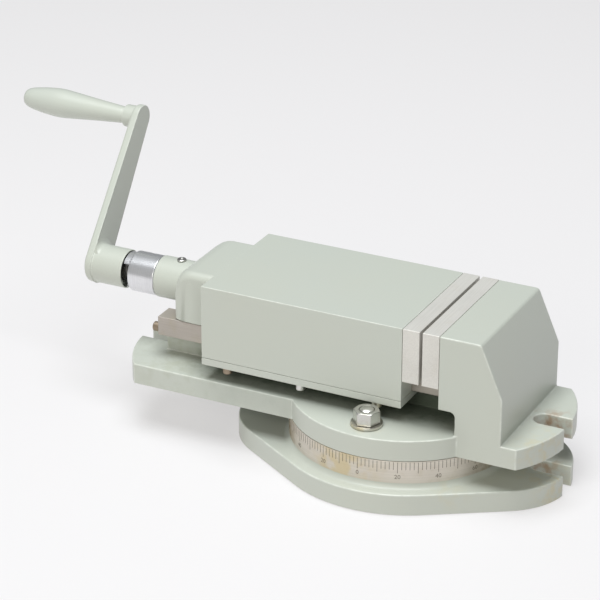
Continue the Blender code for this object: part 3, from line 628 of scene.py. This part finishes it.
@dataclass
class SwivelBase:
    """The lobed base with its graduated ring."""

    shop: Workshop
    ring_radius: float = 77.9 * MM
    ring_low: float = 19.2 * MM
    ring_top: float = 34.8 * MM
    edge: float = 1.1 * MM
    channel_edge: float = 0.12 * MM
    ring_edge: float = 0.35 * MM
    foot_edge: float = 0.6 * MM
    foot_top: float = 4 * MM
    minor_step: int = 2
    major_step: int = 10
    number_step: int = 20
    minor_length: float = 5.6 * MM
    major_length: float = 8.0 * MM
    mark_width: float = 0.36 * MM
    zero_shift: float = 1.3
    mark_gap: float = 0.4 * MM
    number_size: float = 4.3 * MM
    number_drop: float = 4.6 * MM
    proud: float = 0.05 * MM

    def build(self) -> None:
        """Makes the base, the marks and the numbers."""
        ring = Zone(DIAL_STEEL, self.on_ring)
        bands = (
            (self.in_ring, self.channel_edge),
            (lambda p: p.z > self.ring_top - 1 * MM, self.ring_edge),
            (lambda p: p.z < self.foot_top, self.foot_edge),
        )
        self.shop.rounded("swivel_base", BASE_ENAMEL, Rounding(self.edge, 3, bands), (ring,))
        self.shop.dress("pivot_pin", TURNED)
        self.build_marks()
        self.build_numbers()

    def in_ring(self, point: Vector) -> bool:
        """Whether an edge is inside the ring: in the bolts' channel or the pivot's bore."""
        return point.xy.length < self.ring_radius - 5 * MM and point.z > 5 * MM

    def on_ring(self, middle: Vector) -> bool:
        """Whether a face is part of the graduated ring or its top."""
        outside = abs(middle.xy.length - self.ring_radius) < 0.6 * MM
        return (outside and middle.z > self.ring_low) or middle.z > self.ring_top - 0.5 * MM

    def angle(self, degrees: float) -> float:
        """The angle about +Z of a dial reading; the dial's zero faces -Y, a little towards +X."""
        return math.radians(degrees - 90.0 + self.zero_shift)

    def build_marks(self) -> None:
        """Makes the lines of the dial as thin inlaid bars."""
        bm = bmesh.new()
        for degrees in range(0, 360, self.minor_step):
            long = degrees % self.major_step == 0
            length = self.major_length if long else self.minor_length
            top = self.ring_top - self.mark_gap
            size = Matrix.Diagonal((4 * self.proud, self.mark_width, length, 1.0))
            move = Matrix.Translation((self.ring_radius - self.proud, 0.0, top - length / 2))
            turn = Matrix.Rotation(self.angle(degrees), 4, "Z")
            bmesh.ops.create_cube(bm, size=1.0, matrix=turn @ move @ size)
        self.shop.add("dial_marks", bm, "swivel_base", [INK])

    def build_numbers(self) -> None:
        """Makes the dial's numbers, wrapped round the ring under every other long mark."""
        bm = bmesh.new()
        low = self.ring_top - self.major_length - self.number_drop
        for degrees in range(0, 360, self.number_step):
            shown = degrees if degrees <= 180 else 360 - degrees
            bm.from_mesh(self.number_mesh(str(shown), self.angle(degrees), low))
        self.shop.add("dial_numbers", bm, "swivel_base", [INK])

    def number_mesh(self, text: str, angle: float, low: float) -> bpy.types.Mesh:
        """A number as a mesh bent onto the ring.

        Args:
            text: the digits.
            angle: the angle about +Z of the number's middle.
            low: the height of its foot.

        Returns:
            The mesh, in the row's frame.
        """
        curve = bpy.data.curves.new(f"number_{text}", "FONT")
        curve.body = text
        curve.size = self.number_size
        curve.align_x = "CENTER"
        curve.extrude = self.proud
        curve.resolution_u = 3
        letter = bpy.data.objects.new(f"number_{text}", curve)
        mesh = bpy.data.meshes.new_from_object(letter)
        bpy.data.objects.remove(letter)
        radius = self.ring_radius
        for vert in mesh.vertices:
            turn = angle + vert.co.x / radius
            reach = radius + vert.co.z
            vert.co = (reach * math.cos(turn), reach * math.sin(turn), low + vert.co.y)
        return mesh


@dataclass
class Body:
    """The body: disc, tongues, web, rails and fixed jaw, with what is fastened to it."""

    shop: Workshop
    edge: float = 1.0 * MM
    hole_edge: float = 0.3 * MM
    rail_edge: float = 0.6 * MM
    disc_edge: float = 0.5 * MM
    disc_low: float = 35.5 * MM
    plate_edge: float = 0.45 * MM
    plate_chamfer: float = 2.2 * MM
    plate_foot: float = 82 * MM
    plate_middle: float = 45 * MM
    nut_edge: float = 0.3 * MM
    screw_edge: float = 0.25 * MM
    clamp_y: float = 60.3 * MM
    rail_half: float = 32.0 * MM
    web_half: float = 19.0 * MM
    rail_low: float = 66.6 * MM
    rail_top: float = 80.4 * MM
    seat_x: float = 46.2 * MM

    def build(self) -> None:
        """Makes the body, its jaw plate, clamps and screws."""
        bands = (
            (self.at_hole, self.hole_edge),
            (self.at_web, 0.0),
            (self.at_rail, self.rail_edge),
            (lambda p: p.z < self.disc_low, self.disc_edge),
        )
        rails = Zone(RAIL_STEEL, self.on_rail)
        self.shop.rounded("vise_body", BODY_ENAMEL, Rounding(self.edge, 3, bands), (rails,))
        back = ((lambda p: p.z < self.plate_foot and p.x > self.plate_middle, self.plate_chamfer),)
        self.shop.rounded("jaw_plate_fixed", JAW_STEEL, Rounding(self.plate_edge, 3, back))
        for side in ("front", "rear"):
            for part, finish in (("nut", BRIGHT), ("washer", WASHER_STEEL), ("bolt", BRIGHT)):
                self.shop.rounded(f"clamp_{part}_{side}", finish, Rounding(self.nut_edge, 2))
            self.shop.rounded(f"jaw_screw_fixed_{side}", BLACK, Rounding(self.screw_edge, 2))
            self.shop.rounded(f"stop_screw_{side}", COPPER, Rounding(self.screw_edge, 2))
        self.shop.dress("lead_nut", BRONZE)
        for label in "ab":
            self.shop.dress(f"nut_screw_{label}", BLACK)

    def at_rail(self, point: Vector) -> bool:
        """Whether an edge is one of the rails' own."""
        beside = abs(point.y) < self.rail_half + MM and point.x < self.seat_x - MM
        return beside and point.z > self.rail_low - MM

    def at_web(self, point: Vector) -> bool:
        """Whether an edge is the inner corner between the web and a rail's underside."""
        return abs(point.z - self.rail_low) < 0.5 * MM and abs(abs(point.y) - self.web_half) < MM

    def at_hole(self, point: Vector) -> bool:
        """Whether an edge is a clamp hole's rim or belongs to the seat of the jaw plate."""
        clamp = abs(abs(point.y) - self.clamp_y) < 6 * MM and abs(point.x) < 7 * MM
        return clamp or abs(point.x - self.seat_x) < 0.6 * MM

    def on_rail(self, middle: Vector) -> bool:
        """Whether a face is a machined face of a rail."""
        inside = abs(middle.y) < self.rail_half + 0.2 * MM and middle.x < self.seat_x
        return inside and self.rail_low - 0.1 * MM < middle.z < self.rail_top + 0.1 * MM


@dataclass
class MovingJaw:
    """The sliding jaw with its boss and sleeve, gib strips and oiler."""

    shop: Workshop
    edge: float = 0.6 * MM
    skirt_edge: float = 0.2 * MM
    step_edge: float = 0.3 * MM
    bore_edge: float = 0.3 * MM
    plate_edge: float = 0.45 * MM
    strip_edge: float = 0.35 * MM
    screw_edge: float = 0.25 * MM
    oiler_edge: float = 0.1 * MM
    cavity_half: float = 18 * MM
    cavity_top: float = 111 * MM
    sleeve_start: float = -150 * MM
    skirt_low: float = 66.6 * MM
    roof: float = 80.9 * MM
    block_left: float = -128.4 * MM
    boss_top: float = 118.2 * MM
    axis_z: float = 95.3 * MM
    sleeve_radius: float = 14.7 * MM

    def build(self) -> None:
        """Makes the jaw and what is fastened to it."""
        bands = (
            (lambda p: p.z < self.skirt_low + 0.5 * MM, self.skirt_edge),
            (lambda p: abs(p.z - self.roof) < 1.2 * MM, 0.0),
            (self.at_step, self.step_edge),
            (self.at_bore, self.bore_edge),
        )
        self.shop.rounded("moving_jaw", ENAMEL, Rounding(self.edge, 3, bands))
        self.shop.rounded("jaw_plate_moving", JAW_STEEL, Rounding(self.plate_edge, 3))
        plating = {1: COPPER, 2: BRIGHT, 3: WASHER_STEEL}
        for side in ("front", "rear"):
            self.shop.rounded(f"gib_strip_{side}", ENAMEL, Rounding(self.strip_edge, 2))
            self.shop.rounded(f"jaw_screw_moving_{side}", BLACK, Rounding(self.screw_edge, 2))
            for number, finish in plating.items():
                self.shop.rounded(f"gib_screw_{side}_{number}", finish, Rounding(self.screw_edge, 2))
        self.shop.rounded("ball_oiler", BRIGHT, Rounding(self.oiler_edge, 2))
        self.shop.dress("thrust_washer", BRONZE)

    def at_step(self, point: Vector) -> bool:
        """Whether an edge is at the foot of the low step between the boss and the block."""
        return abs(point.x - self.block_left) < MM and abs(point.z - self.boss_top) < 0.5 * MM

    def at_bore(self, point: Vector) -> bool:
        """Whether an edge is inside the jaw's cavity or round the screw's sleeve."""
        cavity = abs(point.y) < self.cavity_half and point.z < self.cavity_top
        reach = math.hypot(point.y, point.z - self.axis_z)
        sleeve = point.x < self.sleeve_start and reach < self.sleeve_radius + MM
        return (cavity and point.x > self.block_left + 2 * MM) or sleeve


@dataclass
class Screw:
    """The screw with its polished clutch ring, pin, spring and end fastening."""

    shop: Workshop
    screw_edge: float = 0.3 * MM
    ring_edge: float = 0.35 * MM
    dog_edge: float = 0.15 * MM
    dogs_x: float = -206 * MM
    washer_edge: float = 0.2 * MM
    cap_edge: float = 0.25 * MM

    def build(self) -> None:
        """Makes the pieces that turn with the screw."""
        self.shop.rounded("lead_screw", TURNED, Rounding(self.screw_edge, 2))
        dogs = ((lambda p: p.x < self.dogs_x, self.dog_edge),)
        self.shop.rounded("clutch_ring", CHROME, Rounding(self.ring_edge, 3, dogs))
        self.shop.rounded("crank_washer", BLACK, Rounding(self.washer_edge, 2))
        self.shop.rounded("crank_screw", BLACK, Rounding(self.cap_edge, 2))
        self.shop.rounded("ring_pin", TURNED, Rounding(self.washer_edge, 2))
        self.shop.dress("clutch_spring", BLACK)


@dataclass
class Crank:
    """The crank: arm and hub with a rounded web between them, stud, and turned grip."""

    shop: Workshop
    axis_z: float = 95.3 * MM
    tilt: float = math.radians(37)
    length: float = 108.0 * MM
    hub_radius: float = 13.8 * MM
    arm_hub_radius: float = 14.05 * MM
    arm_end_radius: float = 9.5 * MM
    arm_face: float = -235.2 * MM
    web_radius: float = 4.2 * MM
    web_spread: float = math.radians(75)
    web_points: int = 8
    sunk: float = 0.4 * MM
    edge: float = 0.7 * MM
    outer_x: float = -240 * MM
    outer_edge: float = 0.4 * MM
    bore_edge: float = 0.3 * MM
    grip_edge: float = 0.4 * MM
    stud_edge: float = 0.2 * MM

    def build(self) -> None:
        """Makes the crank, its web and its grip."""
        outer = (lambda p: p.x < self.outer_x, self.outer_edge)
        bands = (outer, (self.inside_hub, self.bore_edge))
        self.shop.rounded("crank", ENAMEL, Rounding(self.edge, 3, bands))
        self.build_web()
        self.shop.rounded("handle_grip", ENAMEL, Rounding(self.grip_edge, 2))
        self.shop.rounded("grip_stud", TURNED, Rounding(self.stud_edge, 2))
        self.shop.dress("grip_snap_ring", BLACK)

    def inside_hub(self, point: Vector) -> bool:
        """Whether an edge is in the hub's bore."""
        return math.hypot(point.y, point.z - self.axis_z) < self.hub_radius - 0.3 * MM

    def build_web(self) -> None:
        """Makes the concave web where the hub meets the arm's inner face."""
        bm = bmesh.new()
        inner, reach = self.hub_radius - MM, self.hub_radius + self.web_radius
        low, high = self.arm_face - self.sunk, self.arm_face + self.web_radius
        points = [(reach, low)]
        for i in range(self.web_points + 1):
            turn = math.pi / 2 * i / self.web_points
            points.append((reach - self.web_radius * math.sin(turn), high - self.web_radius * math.cos(turn)))
        points += [(inner, high), (inner, low)]
        verts = [bm.verts.new((x, 0.0, radius)) for radius, x in points]
        edges = [bm.edges.new(pair) for pair in zip(verts, verts[1:] + verts[:1])]
        centre = (0.0, 0.0, 0.0)
        start = Matrix.Rotation(self.web_spread, 3, "X")
        bmesh.ops.rotate(bm, verts=verts, cent=centre, matrix=start)
        bmesh.ops.spin(
            bm,
            geom=verts + edges,
            cent=centre,
            axis=(-1, 0, 0),
            angle=2 * self.web_spread,
            steps=40,
            use_merge=False,
        )
        side = math.acos((self.arm_hub_radius - self.arm_end_radius) / self.length)
        for sign in (-1, 1):
            outward = Vector((0.0, sign * math.sin(side), math.cos(side)))
            near = outward * (self.arm_hub_radius - self.sunk)
            whole = [*bm.verts, *bm.edges, *bm.faces]
            bmesh.ops.bisect_plane(bm, geom=whole, plane_co=near, plane_no=outward, clear_outer=True)
        bmesh.ops.holes_fill(bm, edges=[e for e in bm.edges if e.is_boundary])
        bmesh.ops.recalc_face_normals(bm, faces=bm.faces)
        bmesh.ops.rotate(bm, verts=bm.verts, cent=centre, matrix=Matrix.Rotation(-self.tilt, 3, "X"))
        bmesh.ops.translate(bm, verts=bm.verts, vec=(0.0, 0.0, self.axis_z))
        self.shop.add("crank_web", bm, "crank", [ENAMEL])


@dataclass(frozen=True)
class Studio:
    """The floor, the soft lights and the camera."""

    azimuth: float = 26.29
    elevation: float = 24.76
    roll: float = 0.19
    distance: float = 1.77
    aim: tuple[float, float, float] = (-0.0526, -0.0532, 0.1262)
    lens: float = 162.15
    floor_size: float = 6.0
    floor_colour: Colour = (0.36, 0.354, 0.357, 1.0)
    glow_colour: Colour = (0.86, 0.845, 0.85, 1.0)
    glow: float = 0.58
    floor_gap: float = 0.3 * MM
    sky_colour: Colour = (0.88, 0.90, 0.92, 1.0)
    sky: float = 0.2

    def build(self) -> None:
        """Sets up the whole studio."""
        self.build_camera()
        self.build_floor()
        self.build_world()
        self.build_light("key", (-0.1, -0.35, 2.3), 1.6, 57.0, (0.95, 0.985, 1.0))
        self.build_light("front", (0.0, -2.3, 1.1), 1.4, 19.0, (1.0, 0.975, 0.89))
        bpy.context.scene.view_settings.view_transform = "Standard"

    def build_camera(self) -> None:
        """Places the camera by its angles about the aim point."""
        azimuth, elevation = math.radians(self.azimuth), math.radians(self.elevation)
        back = Vector((math.sin(azimuth), -math.cos(azimuth), 0.0)) * math.cos(elevation)
        back.z = math.sin(elevation)
        data = bpy.data.cameras.new("camera")
        data.lens = self.lens
        camera = bpy.data.objects.new("camera", data)
        turn = back.to_track_quat("Z", "Y").to_matrix().to_4x4()
        spin = Matrix.Rotation(math.radians(self.roll), 4, "Z")
        camera.matrix_world = Matrix.Translation(Vector(self.aim) + back * self.distance) @ turn @ spin
        bpy.context.scene.collection.objects.link(camera)
        bpy.context.scene.camera = camera

    def build_floor(self) -> None:
        """Makes the pale floor, which glows a little so that shadows on it stay faint."""
        bm = bmesh.new()
        bmesh.ops.create_grid(bm, x_segments=1, y_segments=1, size=self.floor_size)
        mesh = bpy.data.meshes.new("floor")
        bm.to_mesh(mesh)
        bm.free()
        floor = bpy.data.objects.new("floor", mesh)
        floor.location.z = -self.floor_gap
        graph = Graph("pale_floor")
        looks = {"Base_Color": self.floor_colour, "Emission_Color": self.glow_colour}
        mesh.materials.append(graph.surface(Roughness=0.9, Emission_Strength=self.glow, **looks))
        bpy.context.scene.collection.objects.link(floor)

    def build_world(self) -> None:
        """Makes the even, dim surroundings."""
        world = bpy.data.worlds.new("studio")
        world.use_nodes = True
        background = world.node_tree.nodes["Background"]
        background.inputs["Color"].default_value = self.sky_colour
        background.inputs["Strength"].default_value = self.sky
        bpy.context.scene.world = world

    def build_light(self, name: str, place: tuple, size: float, power: float, colour: tuple) -> None:
        """Adds a soft square light that faces the vise.

        Args:
            name: the light's name.
            place: where it stands.
            size: the length of its side.
            power: its power in watts.
            colour: its colour.
        """
        data = bpy.data.lights.new(name, "AREA")
        data.size = size
        data.energy = power
        data.color = colour
        light = bpy.data.objects.new(name, data)
        light.location = place
        light.rotation_mode = "QUATERNION"
        light.rotation_quaternion = (Vector(self.aim) - Vector(place)).to_track_quat("-Z", "Y")
        bpy.context.scene.collection.objects.link(light)


def main() -> None:
    """Builds the vise's sub-assemblies in order, then the studio, and notes the sizes."""
    logging.basicConfig(level=logging.INFO, format="%(message)s")
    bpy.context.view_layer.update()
    shop = Workshop(Paintbox())
    for part in (SwivelBase, Body, MovingJaw, Screw, Crank):
        part(shop).build()
    Studio().build()


if __name__ == "__main__":
    main()
